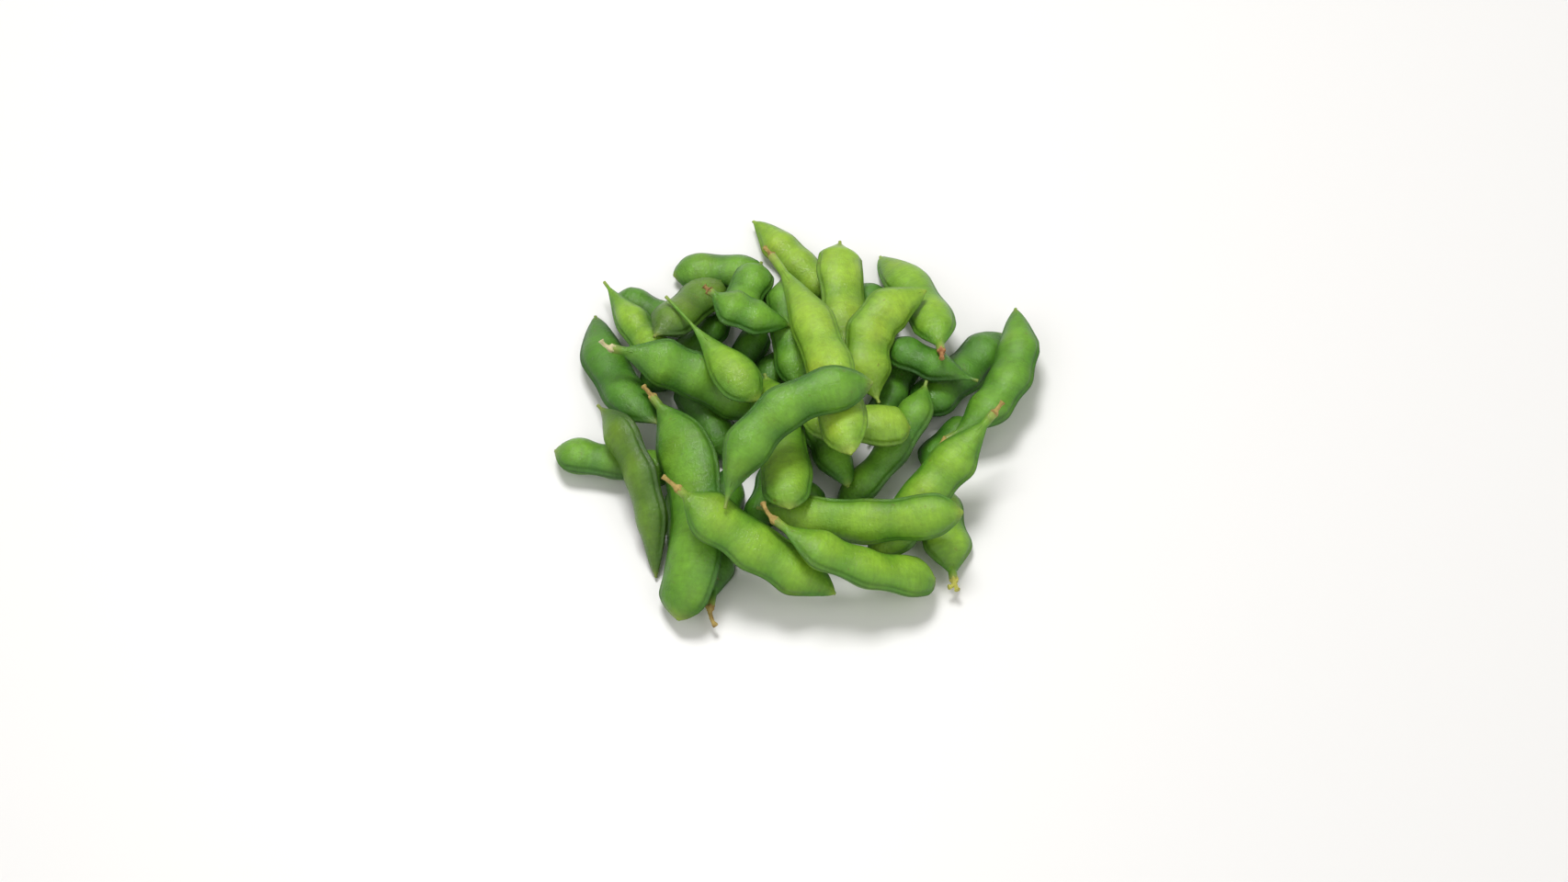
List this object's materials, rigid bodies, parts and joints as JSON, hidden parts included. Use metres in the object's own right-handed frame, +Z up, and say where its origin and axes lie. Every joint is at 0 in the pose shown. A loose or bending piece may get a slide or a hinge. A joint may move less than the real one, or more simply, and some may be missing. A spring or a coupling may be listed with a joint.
{
  "type": "edamame pod bundle",
  "caption": "Loose heap of cooked soybean pods lying across one another on a flat surface, some with dried stalk stubs.",
  "frame": {"origin": "centre of the heap's footprint, on the surface it lies on", "axes": "+Z up from that surface; +Y runs away from the side the heap is looked at from; +X to the right seen from that side"},
  "size_m": [0.1324, 0.1317, 0.039],
  "materials": {
    "pod_skin": "moist, slightly wrinkled cooked skin",
    "light_pod_skin": "moist, yellower cooked skin",
    "dark_pod_skin": "moist, deep green cooked skin",
    "dried_stalk": "dry, fibrous"
  },
  "bodies": {
    "root": {"base_pod_01": "pod_skin", "base_pod_01_stub": "dried_stalk", "base_pod_02": "dark_pod_skin", "base_pod_03": "dark_pod_skin", "base_pod_04": "dark_pod_skin", "base_pod_05": "pod_skin", "base_pod_06": "dark_pod_skin", "base_pod_07": "pod_skin", "base_pod_07_stub": "dried_stalk", "base_pod_08": "pod_skin", "base_pod_09": "pod_skin", "base_pod_10": "pod_skin", "base_pod_11": "pod_skin", "base_pod_12": "pod_skin", "base_pod_13": "pod_skin", "base_pod_14": "dark_pod_skin", "base_pod_15": "pod_skin", "base_pod_16": "dark_pod_skin", "base_pod_17": "dark_pod_skin", "base_pod_18": "dark_pod_skin", "base_pod_19": "dark_pod_skin", "base_pod_20": "dark_pod_skin", "middle_pod_01": "dark_pod_skin", "middle_pod_02": "pod_skin", "middle_pod_03": "pod_skin", "middle_pod_04": "pod_skin", "middle_pod_05": "pod_skin", "middle_pod_06": "pod_skin", "middle_pod_06_stub": "dried_stalk", "middle_pod_07": "pod_skin", "middle_pod_07_stub": "dried_stalk", "middle_pod_08": "light_pod_skin", "middle_pod_09": "pod_skin", "middle_pod_10": "pod_skin", "middle_pod_11": "light_pod_skin", "middle_pod_12": "dark_pod_skin", "middle_pod_12_stub": "dried_stalk", "middle_pod_13": "dark_pod_skin", "middle_pod_13_stub": "dried_stalk", "middle_pod_14": "light_pod_skin", "middle_pod_15": "pod_skin", "middle_pod_15_stub": "dried_stalk", "top_pod_01": "pod_skin", "top_pod_01_stub": "dried_stalk", "top_pod_02": "light_pod_skin", "top_pod_03": "light_pod_skin", "top_pod_04": "light_pod_skin", "top_pod_05": "dark_pod_skin", "top_pod_05_stub": "dried_stalk", "top_pod_06": "pod_skin", "top_pod_06_stub": "dried_stalk", "top_pod_07": "light_pod_skin", "top_pod_07_stub": "dried_stalk", "top_pod_08": "pod_skin"}
  },
  "joints": []
}
